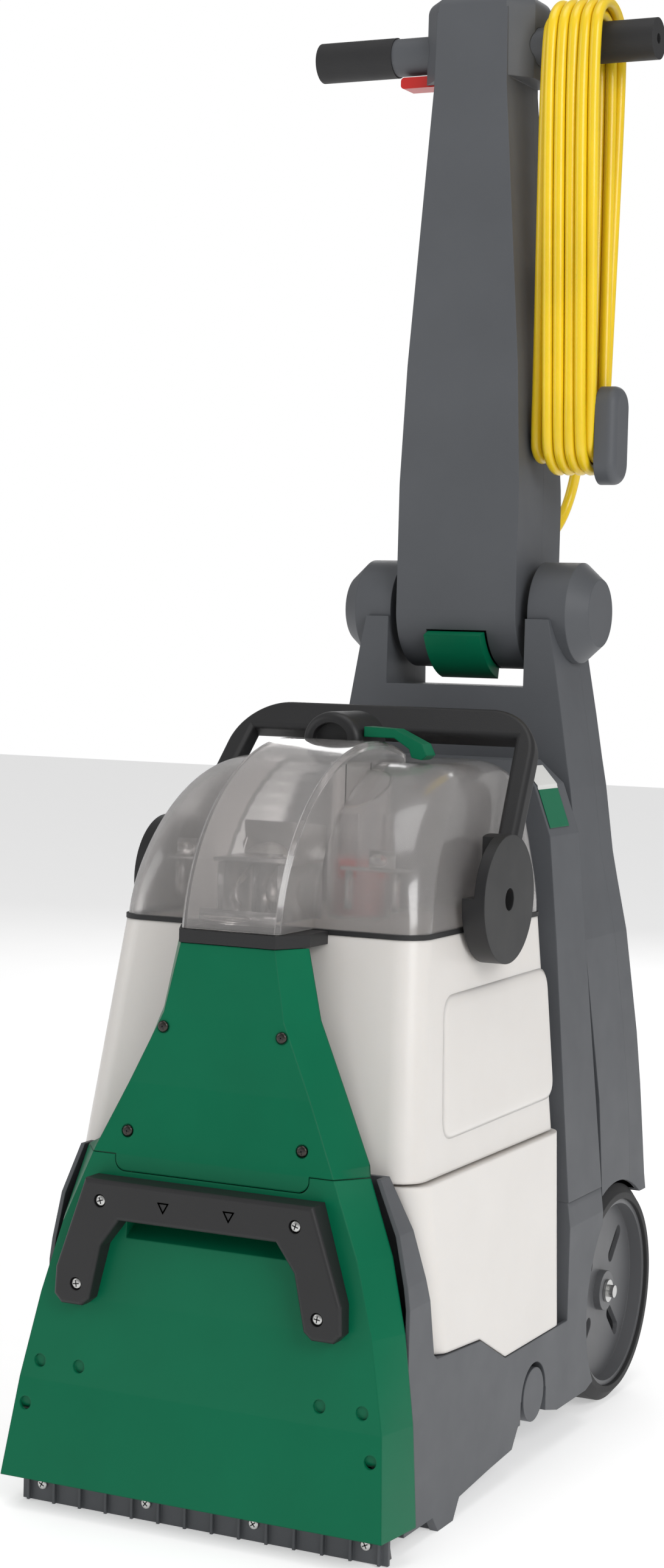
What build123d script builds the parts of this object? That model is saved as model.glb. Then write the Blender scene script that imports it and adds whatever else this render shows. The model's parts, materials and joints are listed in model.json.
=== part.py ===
"""Upright two-tank carpet cleaner, in millimetres.

+Z is up, the floor is z = 0, the machine faces -Y and is symmetric about x = 0.
"""
import os
from math import cos, radians, sin, tan
from build123d import *

os.makedirs("parts", exist_ok=True)

# Driving dimensions ---------------------------------------------------------------
overall_height = 1118
base_half_width = 140
wheel_radius = 87
wheel_y = 195
wheel_width = 36
wheel_outset = -9            # outer tyre face, from the side of the base
lip_y = -282                 # front edge of the base
wall = 3
tank_wall = 2.5
running = 0.05               # radial clearance of a shaft in its bore
gap = 0.5                    # clearance between pieces that slide past each other

# Places that follow from them -----------------------------------------------------
W = base_half_width
axle_z = wheel_radius
wheel_face = W + wheel_outset
wheel_inner = wheel_face - wheel_width
axle_radius = 5
clip_radius = 9
hub_radius = 16

fold_y, fold_z = 177, 633    # hinge between the lower and the upper handle
fold_radius = 46
pod_radius = 40
pin_radius = 8
handle_half = 51.6
notch_half = handle_half + 7.8
handle_front_y = fold_y - fold_radius
bar_y = 162
bar_z = overall_height - 40
bar_radius = 15
grip_radius = 16
bar_half = 144.4
grip_length = 67.4
hook_y, hook_z, hook_radius = 165, 770, 10
cord_radius = 4.5
coil_layers = 18.5           # thickness of the wound cord
coil_x0, coil_x1 = 52.5, 106.5

tank_top_z, tank_split_z = 404.7, 244
lower_tank_top_z = 242
lid_z = 408
tank_rear_y = 54
tower_front_y = 62
tower_rear_y = 134
tower_top_z = 518
tower_foot_z = 184
column_half = 76             # middle of the base between the wheels
leg_gap = 2
axle = Axis((0, wheel_y, axle_z), (1, 0, 0))
fold_axis = Axis((0, fold_y, fold_z), (1, 0, 0))


# Shared ways of making a solid ----------------------------------------------------
def side_profile(points, half_width, inset=0, mode=Mode.ADD):
    """Extrude a (y, z) outline to both sides of the middle plane."""
    with BuildSketch(Plane.YZ) as outline:
        with BuildLine():
            Polyline(*points, close=True)
        make_face()
        if inset:
            offset(amount=-inset, kind=Kind.INTERSECTION)
    extrude(outline.sketch, amount=half_width, both=True, mode=mode)


def front_profile(right_side, y_front, y_back, inset=0, mode=Mode.ADD):
    """Extrude the mirrored (x, z) outline from y_front back to y_back."""
    left_side = [(-x, z) for x, z in reversed(right_side)]
    with BuildSketch(Plane.XZ.offset(-y_back)) as outline:
        with BuildLine():
            Polyline(*right_side, *left_side, close=True)
        make_face()
        if inset:
            offset(amount=-inset, kind=Kind.INTERSECTION)
    extrude(outline.sketch, amount=y_back - y_front, mode=mode)


def block(x0, x1, y0, y1, z0, z1, mode=Mode.ADD):
    """A box between six planes."""
    with Locations(((x0 + x1) / 2, (y0 + y1) / 2, (z0 + z1) / 2)):
        Box(x1 - x0, y1 - y0, z1 - z0, mode=mode)


def rod_x(x0, x1, y, z, radius, mode=Mode.ADD):
    """A cylinder along X."""
    with BuildSketch(Plane.YZ.offset(x0)) as disc:
        with Locations((y, z)):
            Circle(radius)
    extrude(disc.sketch, amount=x1 - x0, mode=mode)


def rod_y(x, y0, y1, z, radius, mode=Mode.ADD):
    """A cylinder along Y."""
    with BuildSketch(Plane.XZ.offset(-y1)) as disc:
        with Locations((x, z)):
            Circle(radius)
    extrude(disc.sketch, amount=y1 - y0, mode=mode)


def rod_z(x, y, z0, z1, radius, mode=Mode.ADD):
    """A cylinder along Z."""
    with BuildSketch(Plane.XY.offset(z0)) as disc:
        with Locations((x, y)):
            Circle(radius)
    extrude(disc.sketch, amount=z1 - z0, mode=mode)


def tapered_tank(z0, half0, front0, rear0, z1, half1, front1, rear1, inset=0):
    """Loft between two rounded rectangles, set in from their outlines by inset."""
    sections = []
    for z, half, front, rear in ((z0, half0, front0, rear0), (z1, half1, front1, rear1)):
        with BuildSketch(Plane.XY.offset(z)) as section:
            with Locations((0, (front + rear) / 2)):
                RectangleRounded(2 * (half - inset), rear - front - 2 * inset, 20 - inset)
        sections.append(section.sketch)
    loft(sections, ruled=True)


# Base -----------------------------------------------------------------------------
brush_y, brush_z, brush_radius = lip_y + 82, 31, 27
mouth_radius = brush_radius + 3
nose_y = lip_y + 49
nose_top_z = 250
deck_line = [(-188, 126), (-186, 122), (-109, 117), (-62, 94), (tower_front_y, 94)]
nose_outline = [(W, -5), (W, 165), (W - 2, 180), (W - 9, 214), (W - 24, nose_top_z), (W - 24, 300)]
roller_y, roller_z, roller_radius, roller_width = -4, 53, 20, 16
motor_y, motor_z, motor_radius = -122, 66, 30
belt_x, belt_width = -120, 10
pulley_radius, brush_pulley_radius = 10, 16
axle_hole = axle_radius + running
chassis_outline = [
    (nose_y, 12), (nose_y, nose_top_z), (-219, nose_top_z), (-191, 126), *deck_line[1:],
    (tower_front_y, tower_foot_z), (tower_rear_y, tower_foot_z), (tower_rear_y, 36),
    (107, 29), (46, 29), (17, 36), (-33, 36), (-44, 22), (-86, 19), (-140, 14),
    (-150, 0), (-176, 0), (-186, 12)]
chassis_inside = [
    (-164, 18), (-90, 23), (-40, 26), (-30, 39), (20, 39), (48, 32), (105, 32),
    (tower_rear_y - wall, 39), (tower_rear_y - wall, 200), (tower_front_y + wall, 200),
    (tower_front_y + wall, 84), (tower_front_y, 84), (tower_front_y, 140), (-168, 140), (-168, 60)]
nose_inside = [(nose_y - 5, 68), (nose_y - 5, 256), (-224, 256), (-196, 130), (-174, 108), (-174, 68)]

with BuildPart() as chassis:
    side_profile(chassis_outline, W)
    front_profile(nose_outline, lip_y, 300, mode=Mode.INTERSECT)
    side_profile(chassis_inside, W - wall, mode=Mode.SUBTRACT)
    block(-column_half, column_half, tower_rear_y - wall, wheel_y + 40, 32, 170)
    block(wall - column_half, column_half - wall, tower_rear_y - wall - 1,
          wheel_y + 40 - wall, 32 + wall, 171, mode=Mode.SUBTRACT)
    with BuildPart(mode=Mode.PRIVATE) as nose_space:
        side_profile(nose_inside, W)
        front_profile(nose_outline, lip_y, 0, inset=wall, mode=Mode.INTERSECT)
    add(nose_space.part, mode=Mode.SUBTRACT)
    rod_x(wall - W + 3, W - wall - 3, brush_y, brush_z, mouth_radius, mode=Mode.SUBTRACT)
    block(wall - W + 3, W - wall - 3, brush_y - 26, brush_y + 26, -1, brush_z, mode=Mode.SUBTRACT)
    block(belt_x - 9, belt_x + 9, -192, -160, 22, 84, mode=Mode.SUBTRACT)
    for side in (-1, 1):
        with BuildPart(mode=Mode.PRIVATE) as arch:
            rod_x(*sorted((side * (wheel_inner - 6), side * W)), wheel_y, axle_z, wheel_radius + 7)
            side_profile(chassis_outline, W, mode=Mode.INTERSECT)
        add(arch.part)
        rod_x(*sorted((side * (wheel_inner - 3), side * (W + 1))), wheel_y, axle_z, wheel_radius + 4,
              mode=Mode.SUBTRACT)
        block(*sorted((side * (W - roller_width - 4), side * W)), roller_y - 28, roller_y + 28,
              36, roller_z + 28)
        recess = sorted((side * (W - roller_width - 1), side * (W + 1)))
        block(*recess, roller_y - 25, roller_y + 25, 20, roller_z, mode=Mode.SUBTRACT)
        rod_x(*recess, roller_y, roller_z, roller_radius + 4, mode=Mode.SUBTRACT)
        rod_x(*sorted((side * (W - roller_width - 2), side * (W - 2))), roller_y, roller_z, 4)
    rod_x(-200, 200, wheel_y, axle_z, axle_radius, mode=Mode.SUBTRACT)
chassis.part.label = "chassis"
export_step(chassis.part, "parts/chassis.step")

deck_drop, deck_thickness = 8, 3
valve_x, valve_y, valve_radius = -60, 0, 9
with BuildPart() as tank_deck:
    top = [(-166, 120 - deck_drop), (-109, 117 - deck_drop), (-62, 94 - deck_drop), (58, 94 - deck_drop)]
    side_profile(top + [(y, z - deck_thickness) for y, z in reversed(top)], W - wall - gap)
    rod_z(valve_x, valve_y, 70, 100, valve_radius + 2, mode=Mode.SUBTRACT)
tank_deck.part.label = "tank_deck"
export_step(tank_deck.part, "parts/tank_deck.step")


def tower_block(inset):
    """The duct tower behind the tanks."""
    outline = [(W - 2, tower_foot_z), (W - 18, 380), (W - 26, 462), (W - 40, 500), (W - 56, tower_top_z)]
    depth = [(tower_front_y, tower_foot_z), (tower_front_y, 500), (tower_front_y + 10, tower_top_z),
             (tower_rear_y - 22, tower_top_z), (tower_rear_y - 11, 500), (tower_rear_y - 11, 380),
             (tower_rear_y, tower_foot_z)]
    with BuildPart() as tower:
        front_profile(outline, tower_front_y - 5, tower_rear_y + 5, inset)
        side_profile(depth, W, inset, mode=Mode.INTERSECT)
    return tower.part


with BuildPart() as rear_tower:
    add(tower_block(0))
    add(tower_block(wall), mode=Mode.SUBTRACT)
    block(wall - W + 2, W - wall - 2, tower_front_y + wall, tower_rear_y - wall,
          tower_foot_z - 1, tower_foot_z + wall + 1, mode=Mode.SUBTRACT)
rear_tower.part.label = "rear_tower"
export_step(rear_tower.part, "parts/rear_tower.step")


def motor_block(inset):
    """The suction motor's cover, between the legs of the handle frame."""
    outline = [(column_half - 4, 170), (column_half - 24, 400), (column_half - 36, 418)]
    depth = [(tower_rear_y - 20, 170), (tower_rear_y - 20, 418), (200, 418), (228, 385), (235, 170)]
    with BuildPart() as cover:
        front_profile(outline, 100, 240, inset)
        side_profile(depth, W, inset, mode=Mode.INTERSECT)
    return cover.part


with BuildPart() as motor_cover:
    add(motor_block(0))
    add(motor_block(wall), mode=Mode.SUBTRACT)
    block(8 - column_half, column_half - 8, 128, 231, 169, 174, mode=Mode.SUBTRACT)
    add(tower_block(0), mode=Mode.SUBTRACT)
    block(-W, W, 90, tower_rear_y, 160, tower_foot_z, mode=Mode.SUBTRACT)
motor_cover.part.label = "motor_cover"
export_step(motor_cover.part, "parts/motor_cover.step")

suction_y = 182
with BuildPart() as suction_motor:
    rod_z(0, suction_y, 170, 182, 48)
    rod_z(0, suction_y, 182, 262, 40)
    rod_z(0, suction_y, 262, 270, 46)
    rod_z(0, suction_y, 270, 306, 4)
suction_motor.part.label = "suction_motor"
export_step(suction_motor.part, "parts/suction_motor.step")

with BuildPart() as suction_fan:
    rod_z(0, suction_y, 278, 281, 42)
    rod_z(0, suction_y, 281, 300, 10)
    for angle in range(0, 360, 45):
        blade = Plane(origin=(0, suction_y, 281), x_dir=(cos(radians(angle)), sin(radians(angle)), 0))
        with BuildSketch(blade):
            with Locations((24, 0)):
                Rectangle(30, 2)
        extrude(amount=16)
    rod_z(0, suction_y, 277, 301, 4 + running, mode=Mode.SUBTRACT)
suction_fan.part.label = "suction_fan"
export_step(suction_fan.part, "parts/suction_fan.step")

# Front covers ---------------------------------------------------------------------
panel_wall = 3
panel_foot_z, seam_z, panel_top_z = 22.5, 251, 398
# height, then how far the ridge, the front face and the rear edge stand in
panel_sections = [
    (panel_foot_z, -6, 0, -11, 44), (90, 1, 11.5, -6, 46), (150, 13, 18, 2, 47), (200, 27, 22, 13, 48),
    (seam_z, 48, 26, 31, 48.5), (256, 50, 27, 38, 62), (300, 70.5, 34, 58, 65.5),
    (350, 94, 38.5, 79, 65.5), (panel_top_z, 104, 42, 89.5, 65.5)]


def front_shell(inset):
    """Loft of the flat-fronted cover, open at the back, top and bottom."""
    with BuildPart() as shell:
        for z, ridge, front, edge, back in panel_sections:
            level = z
            if inset and z == panel_foot_z:
                level = z - 1
            if inset and z == panel_top_z:
                level = z + 1
            open_back = 1 if inset else 0
            xr, yr = W - ridge - inset, lip_y + front + inset
            xe, ye = W - edge - inset * 1.05, lip_y + back + open_back
            with BuildSketch(Plane.XY.offset(level)):
                with BuildLine():
                    Polyline((-xe, ye), (-xr, yr), (xr, yr), (xe, ye), close=True)
                make_face()
        loft(ruled=True)
    return shell.part


def upper_region(grow):
    """The part of the front that the upper cover takes."""
    with BuildPart() as region:
        block(-W - 20, W + 20, lip_y - 20, lip_y + 80, seam_z - grow, panel_top_z + 20)
        with BuildSketch(Plane.XZ.offset(-(lip_y + 80))):
            with Locations((0, seam_z - 1.5)):
                RectangleRounded(148 + 2 * grow, 11 + 2 * grow + 8, 8)
        extrude(amount=100)
    return region.part


outer_shell = front_shell(0)
inner_shell = front_shell(panel_wall)
pocket_half, pocket_y = 62, lip_y + 45
screw_spots = [(45.5, 340, lip_y + 37), (67, 267, lip_y + 29)]
dimples = [(92.5, 102.7, 13), (123.7, 102.7, 13), (132.4, 72.6, 9)]

with BuildPart() as upper_front_panel:
    add(outer_shell)
    add(inner_shell, mode=Mode.SUBTRACT)
    add(upper_region(0), mode=Mode.INTERSECT)
    for side in (-1, 1):
        for x, z, y in screw_spots:
            rod_y(side * x, lip_y - 5, y + 1, z, 4.6, mode=Mode.SUBTRACT)
            rod_y(side * x, lip_y, y + 12, z, 2, mode=Mode.SUBTRACT)
upper_front_panel.part.label = "upper_front_panel"
export_step(upper_front_panel.part, "parts/upper_front_panel.step")

with BuildPart() as lower_front_panel:
    add(outer_shell)
    add(inner_shell, mode=Mode.SUBTRACT)
    add(upper_region(0.6), mode=Mode.SUBTRACT)
    with BuildPart(mode=Mode.PRIVATE) as pocket:
        side_profile([(lip_y + 10, 184), (pocket_y + 2.5, 208), (pocket_y + 2.5, 238), (lip_y + 10, 238)],
                     pocket_half + 2.5)
    add(pocket.part.intersect(outer_shell))
    side_profile([(lip_y + 10, 187), (pocket_y, 210), (pocket_y, 235), (lip_y + 10, 235)],
                 pocket_half, mode=Mode.SUBTRACT)
    for side in (-1, 1):
        for x, z, y in dimples:
            rod_y(side * x, lip_y - 5, lip_y + y + 2, z, 4.5, mode=Mode.SUBTRACT)
lower_front_panel.part.label = "lower_front_panel"
export_step(lower_front_panel.part, "parts/lower_front_panel.step")

with BuildPart() as panel_screws:
    for side in (-1, 1):
        for x, z, y in screw_spots:
            rod_y(side * x, y - 1.5, y + 1, z, 4)
            rod_y(side * x, y + 1, y + 6, z, 2)
panel_screws.part.label = "panel_screws"
export_step(panel_screws.part, "parts/panel_screws.step")

handle_screws = [(74.5, 221.5), (92.2, 162)]
lift_y = lip_y + 6
with BuildPart() as lift_handle:
    front_profile([(60, 209), (74, 190), (82, 152), (88, 147), (104, 147), (110, 153), (109, 172), (87, 236)],
                  lift_y, lip_y + 34)
    fillet(lift_handle.faces().sort_by(Axis.Y)[0].edges(), radius=3)
    add(outer_shell, mode=Mode.SUBTRACT)
    for side in (-1, 1):
        for x, z in handle_screws:
            rod_y(side * x, lift_y - 5, lift_y + 3, z, 4.6, mode=Mode.SUBTRACT)
lift_handle.part.label = "lift_handle"
export_step(lift_handle.part, "parts/lift_handle.step")

with BuildPart() as lift_handle_screws:
    for side in (-1, 1):
        for x, z in handle_screws:
            rod_y(side * x, lift_y + 0.5, lift_y + 3, z, 4.2)
lift_handle_screws.part.label = "lift_handle_screws"
export_step(lift_handle_screws.part, "parts/lift_handle_screws.step")

strip_half, strip_y, strip_screws_z = W + 1, lip_y + 22.5, 13
strip_screws_x = (15 - W, (15 - W) / 3, (W - 15) / 3, W - 15)
with BuildPart() as nozzle_strip:
    block(-strip_half, strip_half, strip_y, strip_y + 3, 0.8, 60)
    for index in range(-7, 7):
        rib_x = (index + 0.5) * strip_screws_x[-1] / 6
        block(rib_x - 1, rib_x + 1, strip_y - 3, strip_y, 1, 21)
nozzle_strip.part.label = "nozzle_strip"
export_step(nozzle_strip.part, "parts/nozzle_strip.step")

with BuildPart() as strip_screws:
    for x in strip_screws_x:
        rod_y(x, strip_y - 2, strip_y, strip_screws_z, 4)
strip_screws.part.label = "strip_screws"
export_step(strip_screws.part, "parts/strip_screws.step")

# height, half width, front and back of the flattened duct behind the covers
duct_sections = [(2, W - 2, 26, 35), (60, W - 12, 26.5, 35), (115, W - 50, 28, 38), (185, W - 66, 48.5, 60),
                 (262, W - 80, 48.5, 58.5), (panel_top_z, 31, 48.5, 58.5)]


def duct(inset):
    """The suction duct from the floor nozzle up to the lid."""
    with BuildPart() as passage:
        for z, half, front, back in duct_sections:
            level = z + (inset if z == panel_top_z else -inset if z == 2 else 0)
            with BuildSketch(Plane.XY.offset(level)):
                with Locations((0, lip_y + (front + back) / 2)):
                    Rectangle(2 * (half - inset), back - front - 2 * inset)
        loft(ruled=True)
    return passage.part


with BuildPart() as suction_duct:
    add(duct(0))
    add(duct(2), mode=Mode.SUBTRACT)
suction_duct.part.label = "suction_duct"
export_step(suction_duct.part, "parts/suction_duct.step")

collar_top_z = lid_z - gap
with BuildPart() as duct_collar:
    with BuildSketch(Plane.XY.offset(panel_top_z + 0.5)):
        with BuildLine():
            Polyline((-50, -187.2), (-50, -215), (-37, lip_y + 41), (37, lip_y + 41),
                     (50, -215), (50, -187.2), close=True)
        make_face()
    extrude(amount=collar_top_z - panel_top_z - 0.5)
    block(-31, 31, lip_y + 50.5, lip_y + 56.5, 390, 415, mode=Mode.SUBTRACT)
duct_collar.part.label = "duct_collar"
export_step(duct_collar.part, "parts/duct_collar.step")

# Brush, belt, pump and wheels -----------------------------------------------------
with BuildPart() as spray_bar:
    rod_x(-100, 100, lip_y + 39.5, 48, 3.5)
    for x in (-80, 0, 80):
        rod_z(x, lip_y + 39.5, 34, 48, 2.5)
spray_bar.part.label = "spray_bar"
export_step(spray_bar.part, "parts/spray_bar.step")

with BuildPart() as brush_motor:
    rod_x(-70, 60, motor_y, motor_z, motor_radius)
    rod_x(belt_x - belt_width / 2 - 2, -70, motor_y, motor_z, 4)
brush_motor.part.label = "brush_motor"
export_step(brush_motor.part, "parts/brush_motor.step")

with BuildPart() as motor_pulley:
    rod_x(belt_x - belt_width / 2 - 1, belt_x + belt_width / 2 + 1, motor_y, motor_z, pulley_radius)
    rod_x(belt_x - 9, belt_x + 9, motor_y, motor_z, 4 + running, mode=Mode.SUBTRACT)
motor_pulley.part.label = "motor_pulley"
export_step(motor_pulley.part, "parts/motor_pulley.step")

brush_end = W - 10
with BuildPart() as brush_roll:
    rod_x(-104, brush_end - 4, brush_y, brush_z, 15)
    rod_x(belt_x - belt_width / 2 - 1, belt_x + belt_width / 2 + 1, brush_y, brush_z, brush_pulley_radius)
    rod_x(-brush_end - 1, brush_end + 1, brush_y, brush_z, 5)
brush_roll.part.label = "brush_roll"
export_step(brush_roll.part, "parts/brush_roll.step")

with BuildPart() as brush_bristles:
    rod_x(-100, brush_end - 8, brush_y, brush_z, brush_radius)
    rod_x(-200, 200, brush_y, brush_z, 15, mode=Mode.SUBTRACT)
brush_bristles.part.label = "brush_bristles"
export_step(brush_bristles.part, "parts/brush_bristles.step")

with BuildPart() as brush_bearings:
    for side in (-1, 1):
        inner, outer = sorted((side * (brush_end - 2), side * (W - wall - 3)))
        rod_x(inner, outer, brush_y, brush_z, 10)
        rod_x(inner - 1, outer + 1, brush_y, brush_z, 5 + running, mode=Mode.SUBTRACT)
brush_bearings.part.label = "brush_bearings"
export_step(brush_bearings.part, "parts/brush_bearings.step")

with BuildPart() as drive_belt:
    for grow, mode in ((2.2, Mode.ADD), (0.2, Mode.SUBTRACT)):
        width = belt_width if mode == Mode.ADD else belt_width + 4
        with BuildSketch(Plane.YZ.offset(belt_x - width / 2)):
            with Locations((motor_y, motor_z)):
                Circle(pulley_radius + grow)
            with Locations((brush_y, brush_z)):
                Circle(brush_pulley_radius + grow)
            make_hull()
        extrude(amount=width, mode=mode)
drive_belt.part.label = "drive_belt"
export_step(drive_belt.part, "parts/drive_belt.step")

with BuildPart() as water_pump:
    block(40, 96, -36, 14, 42, 78)
    rod_x(10, 40, -11, 60, 16)
water_pump.part.label = "water_pump"
export_step(water_pump.part, "parts/water_pump.step")

axle_end = wheel_face - 1
with BuildPart() as wheel_axle:
    rod_x(-axle_end, axle_end, wheel_y, axle_z, axle_radius)
wheel_axle.part.label = "wheel_axle"
export_step(wheel_axle.part, "parts/wheel_axle.step")

hub_face = wheel_face - 8
with BuildPart() as wheel_clips:
    for side in (-1, 1):
        inner, outer = sorted((side * (hub_face + 0.3), side * (hub_face + 2.3)))
        rod_x(inner, outer, wheel_y, axle_z, clip_radius)
        rod_x(inner - 1, outer + 1, wheel_y, axle_z, axle_radius, mode=Mode.SUBTRACT)
wheel_clips.part.label = "wheel_clips"
export_step(wheel_clips.part, "parts/wheel_clips.step")

rim_radius = wheel_radius - 12
spoke_gap = rim_radius - hub_radius - 25
spoke_gap_radius = (rim_radius + hub_radius - 1) / 2
for side, place in ((1, "right"), (-1, "left")):
    with BuildPart() as tyre:
        with BuildSketch(Plane.XY.offset(axle_z)):
            with BuildLine():
                Polyline((side * wheel_inner, wheel_y + rim_radius),
                         (side * wheel_inner, wheel_y + wheel_radius - 5),
                         (side * (wheel_inner + 5), wheel_y + wheel_radius),
                         (side * (wheel_face - 6), wheel_y + wheel_radius),
                         (side * wheel_face, wheel_y + wheel_radius - 7),
                         (side * wheel_face, wheel_y + rim_radius), close=True)
            make_face()
        revolve(axis=axle)
    tyre.part.label = "tyre_" + place
    export_step(tyre.part, "parts/tyre_" + place + ".step")

    with BuildPart() as wheel:
        low, high = sorted((side * (wheel_inner + 2), side * (wheel_face - 3)))
        rod_x(low, high, wheel_y, axle_z, rim_radius)
        dish_out = sorted((side * (wheel_face - 14), side * wheel_face))
        dish_in = sorted((side * wheel_inner, side * (wheel_face - 18)))
        rod_x(*dish_out, wheel_y, axle_z, rim_radius - 4, mode=Mode.SUBTRACT)
        rod_x(*dish_in, wheel_y, axle_z, rim_radius - 4, mode=Mode.SUBTRACT)
        rod_x(*sorted((side * (wheel_inner + 1), side * hub_face)), wheel_y, axle_z, hub_radius)
        with BuildSketch(Plane.YZ.offset(side * (wheel_face - 16))):
            with Locations((wheel_y, axle_z)), PolarLocations(spoke_gap_radius, 4, start_angle=45):
                SlotOverall(spoke_gap, 11)
        extrude(amount=10, both=True, mode=Mode.SUBTRACT)
        rod_x(*sorted((0, side * 200)), wheel_y, axle_z, axle_hole, mode=Mode.SUBTRACT)
    wheel.part.label = "wheel_" + place
    export_step(wheel.part, "parts/wheel_" + place + ".step")

    with BuildPart() as roller:
        rod_x(*sorted((side * (W - roller_width), side * W)), roller_y, roller_z, roller_radius)
        rod_x(*sorted((0, side * (W - 1.9))), roller_y, roller_z, 4 + running, mode=Mode.SUBTRACT)
    roller.part.label = "side_roller_" + place
    export_step(roller.part, "parts/side_roller_" + place + ".step")

# Tanks ----------------------------------------------------------------------------
cap_x, cap_y, cap_radius = 85, -150, 23.5


def clean_block(inset):
    """The clean water tank: a flush upper body and a foot that drops between the side walls."""
    rise = 1 + inset
    above = [(y, z + rise) for y, z in deck_line[1:]]
    foot = [(y, z - 7 + inset) for y, z in deck_line[1:]]
    with BuildPart() as lower:
        tapered_tank(90, W, -178, tank_rear_y + 3, lower_tank_top_z - inset, W - 4, -214, tank_rear_y, inset)
        side_profile([(-260, 123 + rise), (-260, 300), (100, 300), (100, above[-1][1]), *reversed(above)],
                     W + 5, mode=Mode.INTERSECT)
    with BuildPart() as insert:
        side_profile([(-165 + inset, foot[0][1] + 1), *foot[1:-1], (tank_rear_y - inset, foot[-1][1]),
                      (tank_rear_y - inset, 97 + rise), (-62, 98 + rise), (-109, 121 + rise),
                      (-165 + inset, 125 + rise)], W - wall - 3 - inset)
    return lower.part + insert.part


with BuildPart() as clean_tank:
    add(clean_block(0))
    add(clean_block(tank_wall), mode=Mode.SUBTRACT)
    rod_z(cap_x, cap_y, lower_tank_top_z - 16, lower_tank_top_z, cap_radius + 3)
    rod_z(cap_x, cap_y, lower_tank_top_z - 14, lower_tank_top_z + 1, cap_radius + gap, mode=Mode.SUBTRACT)
    rod_z(cap_x, cap_y, lower_tank_top_z - 17, lower_tank_top_z, 16, mode=Mode.SUBTRACT)
clean_tank.part.label = "clean_tank"
export_step(clean_tank.part, "parts/clean_tank.step")

with BuildPart() as fill_cap:
    rod_z(cap_x, cap_y, lower_tank_top_z - 14, lower_tank_top_z - 4, cap_radius)
    rod_z(cap_x, cap_y, lower_tank_top_z - 20, lower_tank_top_z - 14, 15.9)
    block(cap_x - 18, cap_x + 18, cap_y - 3, cap_y + 3, lower_tank_top_z - 4, lower_tank_top_z)
fill_cap.part.label = "fill_cap"
export_step(fill_cap.part, "parts/fill_cap.step")

with BuildPart() as tank_valve:
    rod_z(valve_x, valve_y, 76, 87, valve_radius)
tank_valve.part.label = "tank_valve"
export_step(tank_valve.part, "parts/tank_valve.step")

dirty_half = W - 21.3
tank_front_y = -186
with BuildPart() as dirty_tank:
    tapered_tank(tank_split_z, W - 8, -215, 52, tank_top_z, dirty_half, tank_front_y, 45)
    with BuildPart(mode=Mode.PRIVATE) as tank_space:
        tapered_tank(tank_split_z + tank_wall, W - 8, -215, 52, tank_top_z + 1, dirty_half, tank_front_y, 45,
                     tank_wall)
    add(tank_space.part, mode=Mode.SUBTRACT)
dirty_tank.part.label = "dirty_tank"
export_step(dirty_tank.part, "parts/dirty_tank.step")

with BuildPart() as lid_gasket:
    with BuildSketch(Plane.XY.offset(tank_top_z)):
        with Locations((0, (tank_front_y + 45) / 2)):
            RectangleRounded(2 * dirty_half + 1, 232, 20)
            RectangleRounded(2 * dirty_half - 12, 219, 14, mode=Mode.SUBTRACT)
    extrude(amount=lid_z - tank_top_z)
lid_gasket.part.label = "lid_gasket"
export_step(lid_gasket.part, "parts/lid_gasket.step")

# height above the gasket, side taper, front taper, rear taper and corner radius
dome_sections = [(0, 0.7, 1, 0, 20), (42, 4.2, 11, 0, 27), (77, 10, 37, 1, 31), (100, 19, 70, 4, 31),
                 (112, 40, 103, 19, 29)]
arch_y, arch_z, arch_a, arch_b = -90, 395, 149, 140
arch_half, arch_side = 35, 38
boss_z, boss_y = 535, -90


def lid_block(inset):
    """Outer form of the clear lid: a dome with a raised arch over the inlet."""
    with BuildPart() as dome:
        for rise, side_in, front_in, rear_in, corner in dome_sections:
            level = lid_z + rise - (inset if rise else 0) - (1 if inset and not rise else 0)
            front, rear = tank_front_y + front_in + inset, 45 - rear_in - inset
            with BuildSketch(Plane.XY.offset(level)):
                with Locations((0, (front + rear) / 2)):
                    RectangleRounded(2 * (dirty_half - side_in - inset), rear - front, corner - inset)
        loft()
    with BuildPart() as arch:
        with BuildSketch(Plane.YZ):
            with Locations((arch_y, arch_z)):
                Ellipse(arch_a - inset, arch_b - inset)
        extrude(amount=arch_half - inset / 2, both=True)
        for side in (-1, 1):
            for x, shrink in ((arch_half - inset / 2, 0), (arch_side - inset, 3)):
                with BuildSketch(Plane.YZ.offset(side * x)):
                    with Locations((arch_y, arch_z)):
                        Ellipse(arch_a - inset - shrink, arch_b - inset - shrink)
            loft()
        block(-W, W, arch_y - 200, -40, lid_z - (1 if inset else 0), 600, mode=Mode.INTERSECT)
    return dome.part + arch.part


def boss_block(clearance):
    """The oval outlet at the top of the arch."""
    with BuildPart() as oval:
        with BuildSketch(Plane.XZ.offset(-boss_y - 46)):
            with Locations((0, boss_z)):
                Ellipse(23 + clearance, 20 + clearance)
        extrude(amount=46)
    return oval.part


lid_inside = lid_block(tank_wall)
with BuildPart() as tank_lid:
    add(lid_block(0))
    add(lid_inside, mode=Mode.SUBTRACT)
    add(boss_block(0), mode=Mode.SUBTRACT)
    for side in (-1, 1):
        rod_x(*sorted((side * (dirty_half - 6), side * (W - 10))), -80, 427, 8)
tank_lid.part.label = "tank_lid"
export_step(tank_lid.part, "parts/tank_lid.step")

with BuildPart() as lid_outlet:
    add(boss_block(0))
    fillet(lid_outlet.faces().sort_by(Axis.Y)[0].edges(), radius=6)
    with BuildSketch(Plane.XZ.offset(-boss_y)):
        with Locations((0, boss_z)):
            Ellipse(14, 12)
    extrude(amount=-6, mode=Mode.SUBTRACT)
lid_outlet.part.label = "lid_outlet"
export_step(lid_outlet.part, "parts/lid_outlet.step")

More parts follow.
